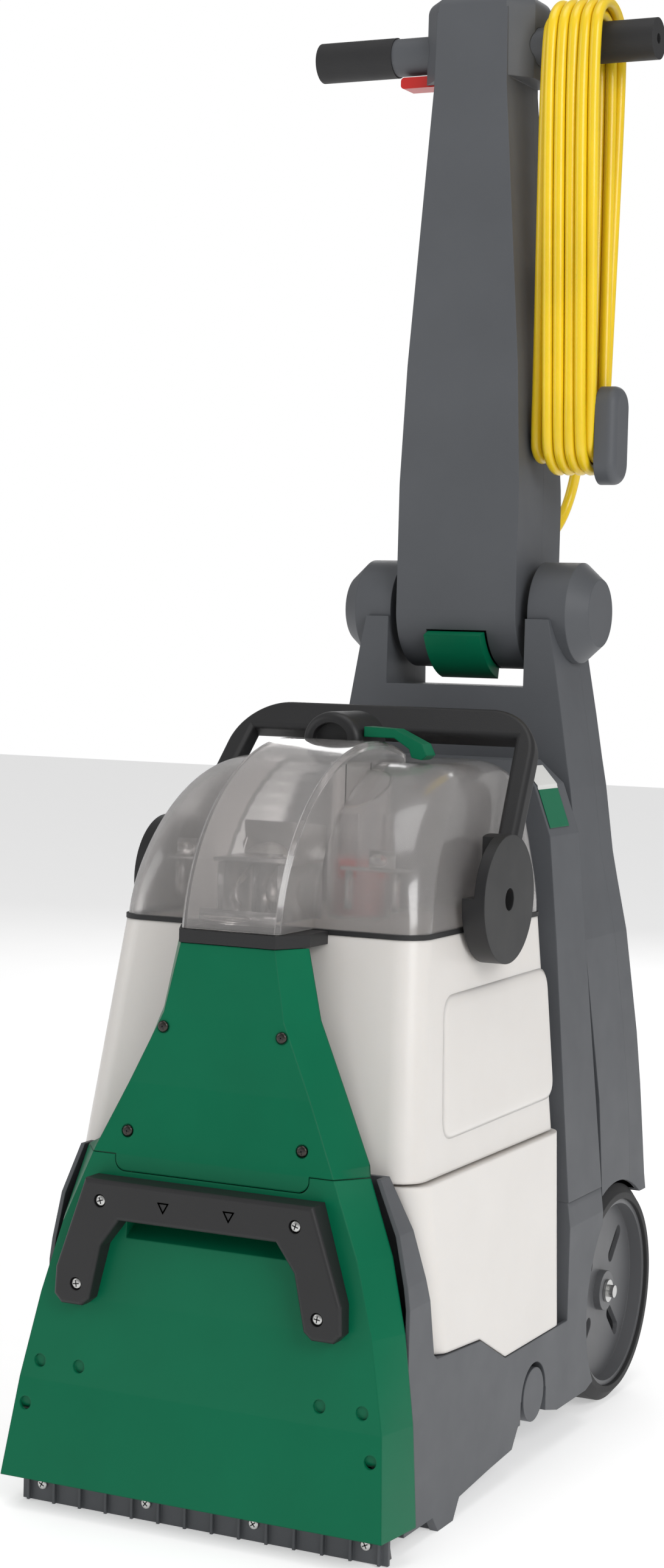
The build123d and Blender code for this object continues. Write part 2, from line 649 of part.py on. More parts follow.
float_x, float_y, float_radius = 40, -118, 19
with BuildPart() as float_cage:
    rod_z(float_x, float_y, 411, 520, float_radius + 3)
    rod_z(float_x, float_y, 413, 521, float_radius + 1, mode=Mode.SUBTRACT)
    rod_z(float_x, float_y, 410, 414, 12, mode=Mode.SUBTRACT)
    for angle in (0, 90):
        with BuildSketch(Plane.XY.offset(440)):
            with Locations((float_x, float_y)):
                Rectangle(60, 16, rotation=angle)
        extrude(amount=44, mode=Mode.SUBTRACT)
    add(lid_inside, mode=Mode.INTERSECT)
float_cage.part.label = "float_cage"
export_step(float_cage.part, "parts/float_cage.step")

with BuildPart() as float_block:
    rod_z(float_x, float_y, 413.3, 453, float_radius)
    fillet(float_block.edges().group_by(Axis.Z)[-1], radius=4)
float_block.part.label = "float_block"
export_step(float_block.part, "parts/float_block.step")

latch_y = -75
with BuildPart() as lid_latch:
    with BuildSketch(Plane.XZ.offset(-latch_y - 8)):
        with BuildLine():
            Polyline((24, 537.5), (24, 545), (48, 544), (70, 534), (74, 526), (70, 522.5), (62, 524),
                     (60, 530), (48, 537.5), close=True)
        make_face()
    extrude(amount=16)
lid_latch.part.label = "lid_latch"
export_step(lid_latch.part, "parts/lid_latch.step")

bail_y, bail_z, bail_lean = -80, 427, 38
disc_radius = 46
bail_plane = Plane(origin=(0, bail_y, bail_z), x_dir=(1, 0, 0),
                   z_dir=(0, -cos(radians(bail_lean)), sin(radians(bail_lean))))
with BuildPart() as bail_handle:
    with BuildSketch(bail_plane) as bow:
        with BuildLine():
            outer = [(W - 6, 0), (W - 6, 45), (W - 17, 162)]
            inner = [(W - 31, 136), (W - 21, 45), (W - 21, 0)]
            Polyline(*outer, *[(-x, s) for x, s in reversed(outer)],
                     *[(-x, s) for x, s in reversed(inner)], *inner, close=True)
        make_face()
        rows = bow.vertices().group_by(Axis.Y)
        fillet(rows[-1], radius=44)
        fillet(rows[-2], radius=30)
    extrude(amount=8, both=True)
    broad = bail_handle.faces().sort_by(Axis((0, 0, 0), bail_plane.z_dir))
    fillet(broad[0].edges() + broad[-1].edges(), radius=4)
    for side in (-1, 1):
        rod_x(*sorted((side * (W - 17), side * W)), bail_y, bail_z, disc_radius)
        rod_x(*sorted((side * (W - 20), side * (W + 1))), bail_y, bail_z, 8 + running, mode=Mode.SUBTRACT)
        block(*sorted((side * (W - 30), side * (W - 17))), bail_y - 50, bail_y + 50, bail_z - 50, bail_z + 10,
              mode=Mode.SUBTRACT)
        block(*sorted((side * (W - 18), side * (W - 8))), bail_y - 50, bail_y - 12, bail_z + 3, bail_z + 50,
              mode=Mode.SUBTRACT)
bail_handle.part.label = "bail_handle"
export_step(bail_handle.part, "parts/bail_handle.step")

# Lower handle frame ---------------------------------------------------------------
leg_seam = [(225, 100), (225, 212), (213, 311), (188, 444), (186, 700)]


def frame_block(inset):
    """The handle frame: two legs that join under the fold hinge."""
    outline = [(79, 627), (83, 607), (92.5, 552), (98, 517), (102, 495), (W - 28, 419), (W - 22, 377),
               (W - 14, 248), (W - 11, 172), (W - 10, 160)]
    window = [(column_half + 3, 160), (column_half + 3, 200), (58, 440)]
    depth = [(133, 627), (133, 377), (156, 248), (161, 172), (164, 160), (262, 160), (257, 207), (247, 292),
             (230, 370), (215, 442), (213, 516), (208, 627)]
    left = [(-x, z) for x, z in reversed(outline)]
    left_window = [(-x, z) for x, z in reversed(window)]
    with BuildPart() as frame:
        with BuildSketch(Plane.XZ.offset(-300)):
            with BuildLine():
                Polyline(*outline, *window, *left_window, *left, (-notch_half, 627), (-notch_half, 573),
                         (notch_half, 573), (notch_half, 627), close=True)
            make_face()
            if inset:
                offset(amount=-inset, kind=Kind.INTERSECTION)
        extrude(amount=200)
        side_profile(depth, W, inset, mode=Mode.INTERSECT)
    return frame.part


frame_outer, frame_inner = frame_block(0), frame_block(wall)
for name, front_half in (("frame_front", True), ("frame_rear", False)):
    with BuildPart() as shell:
        add(frame_outer)
        add(frame_inner, mode=Mode.SUBTRACT)
        far = 50 if front_half else 350
        side_profile([*leg_seam, (far, 700), (far, 100)], W + 5, mode=Mode.INTERSECT)
        rod_x(-200, 200, fold_y, fold_z, pod_radius, mode=Mode.SUBTRACT)
        for side in (-1, 1):
            rod_x(*sorted((side * (wheel_inner - 3), side * 200)), wheel_y, axle_z, wheel_radius + 3,
                  mode=Mode.SUBTRACT)
    shell.part.label = name
    export_step(shell.part, "parts/" + name + ".step")

bracket_in = column_half + leg_gap
bracket_out = wheel_inner - 4
with BuildPart() as axle_brackets:
    for side in (-1, 1):
        x0, x1 = sorted((side * bracket_in, side * bracket_out))
        with BuildSketch(Plane.YZ.offset(x0)):
            with BuildLine():
                Polyline((wheel_y - 22, axle_z), (wheel_y - 22, axle_z + 86), (wheel_y + 30, axle_z + 86),
                         (wheel_y + 22, axle_z), close=True)
            make_face()
            with Locations((wheel_y, axle_z)):
                Circle(22)
                Circle(axle_hole, mode=Mode.SUBTRACT)
        extrude(amount=x1 - x0)
    add(frame_outer, mode=Mode.SUBTRACT)
axle_brackets.part.label = "axle_brackets"
export_step(axle_brackets.part, "parts/axle_brackets.step")

pod_x0, pod_x1, pod_face = notch_half, 91, 106
with BuildPart() as hinge_pods:
    with BuildSketch(Plane.XY.offset(fold_z)):
        with BuildLine():
            Polyline((pod_x0, fold_y), (pod_x0, fold_y + pod_radius), (pod_x1, fold_y + pod_radius),
                     (pod_face, fold_y + 27), (pod_face, fold_y), close=True)
        make_face()
    revolve(axis=fold_axis)
    mirror(about=Plane.YZ)
    rod_x(-pod_face + 8, pod_face - 8, fold_y, fold_z, pin_radius, mode=Mode.SUBTRACT)
hinge_pods.part.label = "hinge_pods"
export_step(hinge_pods.part, "parts/hinge_pods.step")

with BuildPart() as fold_pin:
    rod_x(-pod_face + 8, pod_face - 8, fold_y, fold_z, pin_radius)
fold_pin.part.label = "fold_pin"
export_step(fold_pin.part, "parts/fold_pin.step")

# Upper handle ---------------------------------------------------------------------
neck_z = bar_z - 32


def handle_block(inset):
    """Outer form of the upper handle, with its rounded foot and the head for the grip bar."""
    with BuildPart() as column:
        front_profile([(handle_half, fold_z - 60), (handle_half, 733), (47.5, 827), (31, neck_z),
                       (30, overall_height)], 100, 260, inset)
        with BuildSketch(Plane.YZ):
            with BuildLine():
                ThreePointArc((handle_front_y, fold_z), (fold_y, fold_z - fold_radius),
                              (fold_y + fold_radius, fold_z))
                Polyline((fold_y + fold_radius, fold_z), (fold_y + fold_radius, 720), (206, 900),
                         (197, neck_z), (195, overall_height - 14), (180, overall_height),
                         (146, overall_height), (handle_front_y, overall_height - 14),
                         (handle_front_y, fold_z))
            make_face()
            if inset:
                offset(amount=-inset)
        extrude(amount=100, both=True, mode=Mode.INTERSECT)
    with BuildPart() as head:
        with BuildSketch(Plane.XY.offset(neck_z + 6 + inset)):
            with BuildLine():
                right = [(29, handle_front_y), (46, 150), (46, 184), (38, 196)]
                Polyline(*right, *[(-x, y) for x, y in reversed(right)], close=True)
            make_face()
            if inset:
                offset(amount=-inset, kind=Kind.INTERSECTION)
        extrude(amount=overall_height - neck_z - 6 - 2 * inset)
        fillet(head.edges().group_by(Axis.Z)[-1], radius=11 - inset)
    return column.part + head.part


trigger_half_y, trigger_z, trigger_pin_x = 10, bar_z - bar_radius - 11, -38
handle_outer, handle_inner = handle_block(0), handle_block(wall)
gland_x, gland_z, gland_radius = 16, 695, 7
switch_z = 940
seam_y = 184                 # where the two halves of the handle meet
for name, front_half in (("handle_front", True), ("handle_rear", False)):
    with BuildPart() as shell:
        add(handle_outer)
        add(handle_inner, mode=Mode.SUBTRACT)
        if front_half:
            block(-100, 100, 100, seam_y, fold_z - 100, overall_height + 50, mode=Mode.INTERSECT)
            block(-26, 26, 100, 173, 560, fold_z - 16, mode=Mode.SUBTRACT)
        else:
            block(-100, 100, seam_y, 300, fold_z - 100, overall_height + 50, mode=Mode.INTERSECT)
            rod_y(gland_x, 215, 230, gland_z, gland_radius, mode=Mode.SUBTRACT)
            block(-12.5, 12.5, 195, 230, switch_z - 17.5, switch_z + 17.5, mode=Mode.SUBTRACT)
        rod_x(-100, 100, bar_y, bar_z, bar_radius, mode=Mode.SUBTRACT)
        rod_x(-100, 100, fold_y, fold_z, pin_radius + running, mode=Mode.SUBTRACT)
        block(-60, -30, bar_y - trigger_half_y - 1, bar_y + trigger_half_y + 1, trigger_z - 2,
              bar_z - bar_radius + 1, mode=Mode.SUBTRACT)
        rod_x(20, 60, hook_y, hook_z, 6 + running, mode=Mode.SUBTRACT)
    shell.part.label = name
    export_step(shell.part, "parts/" + name + ".step")

with BuildPart() as grip_bar:
    rod_x(-bar_half + 4, bar_half - 4, bar_y, bar_z, bar_radius)
    rod_x(-bar_half, bar_half, bar_y, bar_z, bar_radius - 2, mode=Mode.SUBTRACT)
grip_bar.part.label = "grip_bar"
export_step(grip_bar.part, "parts/grip_bar.step")

with BuildPart() as hand_grips:
    for side in (-1, 1):
        rod_x(*sorted((side * (bar_half - grip_length), side * bar_half)), bar_y, bar_z, grip_radius)
        rod_x(*sorted((side * (bar_half - grip_length - 1), side * (bar_half - 4))), bar_y, bar_z, bar_radius,
              mode=Mode.SUBTRACT)
    rod_x(-200, 200, bar_y, bar_z, 4, mode=Mode.SUBTRACT)
hand_grips.part.label = "hand_grips"
export_step(hand_grips.part, "parts/hand_grips.step")

with BuildPart() as trigger:
    block(-70, trigger_pin_x + 6, bar_y - trigger_half_y, bar_y + trigger_half_y,
          trigger_z - 1, trigger_z + 8)
    fillet(trigger.edges().filter_by(Axis.Y).group_by(Axis.X)[0], radius=3)
trigger.part.label = "trigger"
export_step(trigger.part, "parts/trigger.step")

latch_radius = fold_radius + 9.5
with BuildPart() as fold_latch:
    with BuildSketch(Plane.YZ):
        with Locations((fold_y, fold_z)):
            Circle(latch_radius)
            Circle(fold_radius + 0.3, mode=Mode.SUBTRACT)
        with BuildLine():
            Polyline((fold_y, fold_z), (fold_y - 80, fold_z - 32), (fold_y - 80, fold_z - 90),
                     (fold_y - 17, fold_z - 80), close=True)
        make_face(mode=Mode.INTERSECT)
    extrude(amount=24.5, both=True)
fold_latch.part.label = "fold_latch"
export_step(fold_latch.part, "parts/fold_latch.step")

with BuildPart() as cord_hook:
    rod_x(40, 53, hook_y, hook_z, 6)
    rod_x(coil_x0 - 1.2, coil_x1 + 1, hook_y, hook_z, hook_radius)
    with BuildSketch(Plane.YZ.offset(coil_x1 + 0.5)):
        with Locations((hook_y, hook_z + 2.5)):
            RectangleRounded(36, 77, 17)
    extrude(amount=17)
    fillet(cord_hook.faces().sort_by(Axis.X)[-1].edges(), radius=7)
cord_hook.part.label = "cord_hook"
export_step(cord_hook.part, "parts/cord_hook.step")

with BuildPart() as power_switch:
    block(-11, 11, 198, 213, switch_z - 15, switch_z + 15)
    fillet(power_switch.edges().filter_by(Axis.X).group_by(Axis.Y)[-1], radius=4)
power_switch.part.label = "power_switch"
export_step(power_switch.part, "parts/power_switch.step")

gland_y = fold_y + fold_radius
gland_end_y = gland_y + 26
with BuildPart() as cord_gland:
    rod_y(gland_x, gland_y - wall, gland_y, gland_z, gland_radius)
    rod_y(gland_x, gland_y, gland_y + 3, gland_z, 11)
    sleeve = []
    for y, radius in ((gland_y + 3, 8), (gland_end_y, cord_radius + 0.7)):
        with BuildSketch(Plane.XZ.offset(-y)) as ring:
            with Locations((gland_x, gland_z)):
                Circle(radius)
        sleeve.append(ring.sketch)
    loft(sleeve)
cord_gland.part.label = "cord_gland"
export_step(cord_gland.part, "parts/cord_gland.step")


# Power cord -----------------------------------------------------------------------
def bend_radii(points):
    """Largest arc that the two runs beside each corner allow."""
    radii = []
    for before, here, after in zip(points, points[1:], points[2:]):
        run_in, run_out = Vector(*here) - Vector(*before), Vector(*after) - Vector(*here)
        turn = run_in.get_angle(run_out)
        radii.append(0.45 * min(run_in.length, run_out.length) / tan(radians(turn / 2)))
    return radii


lead_route = [(gland_x, gland_end_y, gland_z), (16, 276, 695), (18, 300, 704), (22, 316, 727), (28, 318, 756),
              (36, 302, 782), (45, 272, 799), (54, 234, 803), (62, 196, 799)]
tail_route = [(64, 196, 1000), (66, 202, 970), (67, 209, 942), (68, 212, 914)]
for name, route in (("power_cord_lead", lead_route), ("power_cord_tail", tail_route)):
    radii = bend_radii(route)
    print(name, "bend radii", [round(radius) for radius in radii])
    with BuildPart() as cord:
        with BuildLine() as path:
            FilletPolyline(*route, radius=radii)
        with BuildSketch(Plane(origin=path.line @ 0, z_dir=path.line % 0)):
            Circle(cord_radius)
        sweep()
    print(name, "length", round(path.wire().length), "volume ratio",
          round(cord.part.volume / (3.14159 * cord_radius ** 2 * path.wire().length), 3))
    cord.part.label = name
    export_step(cord.part, "parts/" + name + ".step")

with BuildPart() as power_cord_coil:
    for grow, mode in ((coil_layers + 0.4, Mode.ADD), (0.4, Mode.SUBTRACT)):
        with BuildSketch(Plane.YZ.offset(coil_x0)):
            with Locations((bar_y, bar_z)):
                Circle(grip_radius + grow)
            with Locations((hook_y, hook_z)):
                Circle(hook_radius + grow)
            make_hull()
        extrude(amount=coil_x1 - coil_x0, mode=mode)
power_cord_coil.part.label = "power_cord_coil"
export_step(power_cord_coil.part, "parts/power_cord_coil.step")

with BuildPart() as power_plug:
    block(55, 81, 201, 223, 872, 914)
    fillet(power_plug.edges().filter_by(Axis.Z), radius=5)
    for x in (61, 75):
        block(x - 1, x + 1, 208, 216, 856, 872)
    rod_z(68, 205, 856, 872, 2.4)
power_plug.part.label = "power_plug"
export_step(power_plug.part, "parts/power_plug.step")
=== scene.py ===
"""Looks of the upright carpet cleaner: cord, small details, materials, light and camera."""

import json
from math import cos, pi, sin, tau

import bmesh
import bpy
from mathutils import Matrix, Vector


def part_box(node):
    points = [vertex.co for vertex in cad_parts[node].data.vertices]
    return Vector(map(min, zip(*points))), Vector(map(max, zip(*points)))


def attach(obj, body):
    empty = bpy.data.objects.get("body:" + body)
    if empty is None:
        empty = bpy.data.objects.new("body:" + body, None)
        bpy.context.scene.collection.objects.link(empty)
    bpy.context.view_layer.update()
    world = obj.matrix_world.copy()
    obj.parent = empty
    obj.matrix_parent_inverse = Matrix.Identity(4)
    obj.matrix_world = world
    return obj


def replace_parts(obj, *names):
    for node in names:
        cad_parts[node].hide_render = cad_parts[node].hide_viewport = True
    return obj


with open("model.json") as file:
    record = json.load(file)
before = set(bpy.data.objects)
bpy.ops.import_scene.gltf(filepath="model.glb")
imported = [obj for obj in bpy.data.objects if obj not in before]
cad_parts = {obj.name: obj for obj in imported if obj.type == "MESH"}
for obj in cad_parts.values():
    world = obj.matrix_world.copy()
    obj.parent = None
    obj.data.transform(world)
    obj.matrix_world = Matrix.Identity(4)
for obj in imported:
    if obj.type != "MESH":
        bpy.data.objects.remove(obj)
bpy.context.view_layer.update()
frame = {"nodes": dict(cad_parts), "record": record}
scene = bpy.context.scene
nodes = frame["nodes"]

# Camera, at the photograph's viewing angle ----------------------------------------
camera = bpy.data.objects.new("camera", bpy.data.cameras.new("camera"))
camera.data.lens = 61.85
camera.data.sensor_width = 36
camera.data.clip_start = 0.05
right, up, back = (0.89826, 0.43867, 0.02645), (-0.04804, 0.03818, 0.99812), (0.43683, -0.89784, 0.05537)
turned = Matrix((right, up, back)).transposed().to_4x4()
camera.matrix_world = Matrix.Translation((0.8558, -1.8434, 0.6107)) @ turned
scene.collection.objects.link(camera)
scene.camera = camera


# Shared ways of making materials and pieces ---------------------------------------
def material(name, colour, roughness, grain=0.0, grain_size=0.0006, mottle=0.05, wave=0.0,
             soft_edge=0.0, haze=0.0, **sockets):
    """A procedural finish: mottled colour, uneven roughness, grain, waviness and rounded edges.

    haze roughens what lies further than 34 mm from the middle plane, as on the lid's sides.
    """
    made = bpy.data.materials.new(name)
    made.use_nodes = True
    tree = made.node_tree
    link = tree.links.new
    shader = tree.nodes["Principled BSDF"]
    where = tree.nodes.new("ShaderNodeTexCoord").outputs["Object"]

    def noise(scale, detail=3.0):
        n = tree.nodes.new("ShaderNodeTexNoise")
        n.inputs["Scale"].default_value = scale
        n.inputs["Detail"].default_value = detail
        link(where, n.inputs["Vector"])
        return n.outputs["Fac"]

    ramp = tree.nodes.new("ShaderNodeValToRGB")
    for stop, at, share in zip(ramp.color_ramp.elements, (0.3, 0.7), (1 - mottle, 1 + mottle)):
        stop.position = at
        stop.color = [min(1, c * share) for c in colour] + [1]
    link(noise(14, 5), ramp.inputs["Fac"])
    link(ramp.outputs["Color"], shader.inputs["Base Color"])

    spread = tree.nodes.new("ShaderNodeMapRange")
    spread.inputs["To Min"].default_value = roughness * 0.85
    spread.inputs["To Max"].default_value = roughness * 1.15
    link(noise(40, 4), spread.inputs["Value"])
    rough = spread.outputs["Result"]
    if haze:
        split = tree.nodes.new("ShaderNodeSeparateXYZ")
        link(where, split.inputs["Vector"])
        away = tree.nodes.new("ShaderNodeMath")
        away.operation = "ABSOLUTE"
        link(split.outputs["X"], away.inputs[0])
        frosted = tree.nodes.new("ShaderNodeMapRange")
        frosted.inputs["From Min"].default_value = 0.034
        frosted.inputs["From Max"].default_value = 0.042
        frosted.inputs["To Max"].default_value = haze
        link(away.outputs["Value"], frosted.inputs["Value"])
        total = tree.nodes.new("ShaderNodeMath")
        link(frosted.outputs["Result"], total.inputs[0])
        link(rough, total.inputs[1])
        rough = total.outputs["Value"]
    link(rough, shader.inputs["Roughness"])

    normal = None
    if soft_edge:
        bevel = tree.nodes.new("ShaderNodeBevel")
        bevel.samples = 4
        bevel.inputs["Radius"].default_value = soft_edge
        normal = bevel.outputs["Normal"]
    for strength, scale, depth in ((wave, 9, 0.004), (grain, 1 / grain_size, 0.0002)):
        if strength:
            bump = tree.nodes.new("ShaderNodeBump")
            bump.inputs["Strength"].default_value = strength
            bump.inputs["Distance"].default_value = depth
            link(noise(scale, 2), bump.inputs["Height"])
            if normal:
                link(normal, bump.inputs["Normal"])
            normal = bump.outputs["Normal"]
    if normal:
        link(normal, shader.inputs["Normal"])
    for socket, value in sockets.items():
        shader.inputs[socket.replace("_", " ")].default_value = value
    return made


finish = {
    "green_plastic": material("green_gloss", (0.0004, 0.135, 0.062), 0.34, wave=0.04, soft_edge=0.0015,
                              Specular_IOR_Level=0.18),
    "gray_plastic": material("slate_plastic", (0.086, 0.091, 0.1), 0.5, grain=0.35, soft_edge=0.0012,
                             Specular_IOR_Level=0.4),
    "black_plastic": material("black_plastic", (0.016, 0.016, 0.017), 0.45, grain=0.4, soft_edge=0.001,
                              Specular_IOR_Level=0.4),
    "inner_plastic": material("inner_plastic", (0.1, 0.1, 0.105), 0.55, grain=0.3),
    "tank_plastic": material("tank_plastic", (0.76, 0.725, 0.69), 0.34, grain=0.12, grain_size=0.0012,
                             mottle=0.02, wave=0.12, soft_edge=0.003, Subsurface_Weight=0.35,
                             Subsurface_Radius=(1, 0.9, 0.8), Subsurface_Scale=0.006, Coat_Weight=0.2,
                             Coat_Roughness=0.2),
    "clear_plastic": material("clear_lid", (0.97, 0.945, 0.935), 0.08, wave=0.1, mottle=0.02, haze=0.12,
                              Transmission_Weight=0.88, IOR=1.46, Coat_Weight=0.4, Coat_Roughness=0.06),
    "red_plastic": material("red_plastic", (0.55, 0.016, 0.012), 0.3, wave=0.04, Coat_Weight=0.3),
    "black_rubber": material("black_rubber", (0.014, 0.014, 0.015), 0.62, grain=0.5, grain_size=0.0005),
    "tyre_rubber": material("tyre_rubber", (0.02, 0.02, 0.021), 0.66, grain=0.5, grain_size=0.0009,
                            soft_edge=0.0015),
    "wheel_plastic": material("wheel_plastic", (0.11, 0.112, 0.118), 0.42, grain=0.25, soft_edge=0.001),
    "steel": material("screw_steel", (0.55, 0.55, 0.54), 0.3, grain=0.2, Metallic=1.0),
    "bristle": material("bristle_nylon", (0.7, 0.7, 0.66), 0.5, grain=0.2),
    "cord_yellow": material("cord_yellow", (0.86, 0.6, 0.01), 0.34, mottle=0.07, grain=0.25, grain_size=0.001,
                            wave=0.06, Subsurface_Weight=0.15, Subsurface_Scale=0.003, Coat_Weight=0.25),
}
for row in frame["record"]["subparts"]:
    node = nodes[row["node"]]
    node.data.materials.clear()
    node.data.materials.append(finish[row["material_slot"]])


def piece(name, bm, body, slot, smooth=True, finishes=None):
    """Put a mesh into the scene as a piece of that body, in that slot's finish."""
    bmesh.ops.recalc_face_normals(bm, faces=bm.faces)
    data = bpy.data.meshes.new(name)
    bm.to_mesh(data)
    bm.free()
    for polygon in data.polygons:
        polygon.use_smooth = smooth
    for each in finishes or [finish[slot]]:
        data.materials.append(each)
    made = bpy.data.objects.new(name, data)
    scene.collection.objects.link(made)
    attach(made, body)
    return made


# Power cord -----------------------------------------------------------------------
lead_route = [(0.016, 0.249, 0.695), (0.016, 0.276, 0.695), (0.018, 0.300, 0.704), (0.022, 0.316, 0.727),
              (0.028, 0.318, 0.756), (0.036, 0.302, 0.782), (0.045, 0.272, 0.799), (0.052, 0.234, 0.803),
              (0.0565, 0.202, 0.801), (0.0567, 0.181, 0.788)]
tail_route = [(0.0642, 0.1945, 1.020), (0.065, 0.198, 0.992), (0.066, 0.203, 0.968), (0.067, 0.209, 0.942),
              (0.068, 0.212, 0.914)]
# (y, z, radius) of the first layer's middle
bar, hook = (0.162, 1.078, 0.0209), (0.165, 0.770, 0.0149)
pitch, layer = 0.00906, 0.0092
first_x, climb_x, leave_x = 0.0567, 0.1034, 0.0642
inner_turns, climb_end = 5, 5.47
outer_turns = (climb_x - leave_x) / pitch
step = pi / 6


def wound(turn, centre, angle, bulge=0.0):
    """A control point of the wound cord. turn counts whole turns from the rear of the hook."""
    climbed = min(1, max(0, (turn - inner_turns - 0.04) / (climb_end - inner_turns - 0.04)))
    if turn < inner_turns:
        x = first_x + pitch * turn
    elif turn < climb_end:
        x = first_x + pitch * inner_turns + (climb_x - first_x - pitch * inner_turns) * min(1, climbed * 3)
    else:
        x = climb_x - pitch * (turn - climb_end)
    y, z, radius = centre
    radius = (radius + layer * climbed + bulge) / cos(step / 2)
    return x, y + radius * cos(angle), z + radius * sin(angle)


cord_points = list(lead_route)
turn = 0.0
while True:
    # under the hook, from its rear to its front
    for k in range(6):
        cord_points.append(wound(turn + 0.07 * k / 5, hook, -step / 2 - step * k))
    rise = 0.0012 * (1 + sin(2.4 * turn))
    for share, centre, z in ((0.17, hook, 0.824), (0.40, bar, 1.018)):
        x, y, _ = wound(turn + share, centre, pi, rise)
        cord_points.append((x, y, z))
    for k in range(6):
        cord_points.append(wound(turn + 0.45 + 0.09 * k / 5, bar, pi - step / 2 - step * k))
    turn += 1
    if turn > inner_turns + outer_turns + 0.2:
        break
    for share, centre, z in ((0.62, bar, 1.018), (0.90, hook, 0.824)):
        x, y, _ = wound(turn - 1 + share, centre, 0.0, rise)
        cord_points.append((x, y, z))
cord_points += tail_route
curve = bpy.data.curves.new("power_cord", "CURVE")
curve.dimensions = "3D"
curve.bevel_depth = 0.0045
curve.bevel_resolution = 4
curve.resolution_u = 8
spline = curve.splines.new("NURBS")
spline.points.add(len(cord_points) - 1)
for point, at in zip(spline.points, cord_points):
    point.co = (*at, 1)
spline.order_u = 3
spline.use_endpoint_u = True
curve.materials.append(finish["cord_yellow"])
cord = bpy.data.objects.new("power_cord", curve)
scene.collection.objects.link(cord)
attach(cord, "handle")
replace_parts(cord, "power_cord_lead", "power_cord_coil", "power_cord_tail")


# Small details --------------------------------------------------------------------
def plates(name, boxes, body, slot, rounding=0.0008):
    """Thin moulded walls between pairs of planes, in millimetres, with rounded edges, as one mesh."""
    bm = bmesh.new()
    for x0, x1, y0, y1, z0, z1 in boxes:
        size, middle = ((x1 - x0, y1 - y0, z1 - z0), ((x0 + x1) / 2, (y0 + y1) / 2, (z0 + z1) / 2))
        bmesh.ops.create_cube(bm, matrix=Matrix.Translation(Vector(middle) / 1000)
                              @ Matrix.Diagonal((*(Vector(size) / 1000), 1)))
    bmesh.ops.bevel(bm, geom=bm.edges[:], offset=rounding, segments=2, affect="EDGES")
    return piece(name, bm, body, slot)


def screw_heads(name, spots, radius, body, metal, replaced):
    """Domed cross-head screws facing -Y, each cross recess drawn as a thin black box on the dome as painted
    shade; spots are (x, y of the seat, z) in millimetres.
    """
    bm = bmesh.new()
    for x, y, z in spots:
        rings = []
        for share, rise in ((1, 0), (0.97, 0.25), (0.8, 0.42), (0.5, 0.5), (0.22, 0.5)):
            rings.append([bm.verts.new(Vector((x + radius * share * cos(tau * k / 20), y - radius * rise,
                                               z + radius * share * sin(tau * k / 20))) / 1000)
                          for k in range(20)])
        for low, high in zip(rings, rings[1:]):
            for k in range(20):
                bm.faces.new((low[k], low[(k + 1) % 20], high[(k + 1) % 20], high[k]))
        bm.faces.new(rings[-1])
        # the cross recess is a thin black box standing just proud of the dome: painted shade in place of the
        # hollow's own shade
        for turned in (0.7 * x, 0.7 * x + pi / 2):
            middle = Matrix.Translation(Vector((x, y - radius * 0.44, z)) / 1000)
            size = Matrix.Diagonal((*(Vector((1.1, 0.16, 0.2)) * radius / 1000), 1))
            cross = bmesh.ops.create_cube(bm, matrix=middle @ Matrix.Rotation(turned, 4, "Y") @ size)
            for face in {f for v in cross["verts"] for f in v.link_faces}:
                face.material_index = 1
    # slot 1, black plastic, carries the painted shade of the cross recesses
    made = piece(name, bm, body, "steel", finishes=[metal, finish["black_plastic"]])
    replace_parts(made, replaced)


dark_metal = material("blackened_screw", (0.06, 0.055, 0.05), 0.32, grain=0.2, Metallic=1.0)
screw_heads("lift_handle_screw_heads",
            [(s * x, -273.4, z) for s in (-1, 1) for x, z in ((74.5, 221.5), (92.2, 162))],
            4.2, "base", finish["steel"], "lift_handle_screws")
screw_heads("panel_screw_heads",
            [(s * x, y, z) for s in (-1, 1) for x, y, z in ((45.5, -244.5, 340), (67, -252.5, 267))],
            4.0, "base", dark_metal, "panel_screws")
screw_heads("strip_screw_heads", [(x, -259.8, 13) for x in (-125, -41.67, 41.67, 125)], 4.0, "base",
            finish["steel"], "strip_screws")

# walls and brackets inside the clear lid
plates("lid_arch_walls", [(-31, 31, -206, -158, 452, 454.5), (-24, -22, -212, -160, 412, 452),
                          (22, 24, -212, -160, 412, 452), (-31, 31, -160, -157.5, 412, 478),
                          (-3, -1, -200, -160, 412, 452), (-30, 30, -226, -224, 411, 421)],
       "lid", "clear_plastic")
for side, name in ((1, "right"), (-1, "left")):
    x0, x1 = sorted((side * 44, side * 96))
    tab = sorted((side * 66, side * 86))
    legs = [sorted((side * a, side * (a + 3))) for a in (48, 84)]
    bracket = [(x0, x1, -158, -148, 447, 449.5), (*tab, -158, -156, 449, 462),
               *[(*leg, -158, -150, 420, 447) for leg in legs]]
    plates("lid_bracket_" + name, bracket, "lid", "clear_plastic", 0.0006)

# raised fields on the sides of the dirty water tank
def rounded(corners, radius, steps=6):
    """The (y, z) outline of a four-sided field with rounded corners."""
    outline = []
    for before, corner, after in zip(corners[-1:] + corners[:-1], corners, corners[1:] + corners[:1]):
        mid = Vector(corner)
        start, end = (mid + (Vector(far) - mid).normalized() * radius for far in (before, after))
        for k in range(steps + 1):
            t = k / steps
            outline.append(start * (1 - t) ** 2 + mid * 2 * t * (1 - t) + end * t ** 2)
    return outline


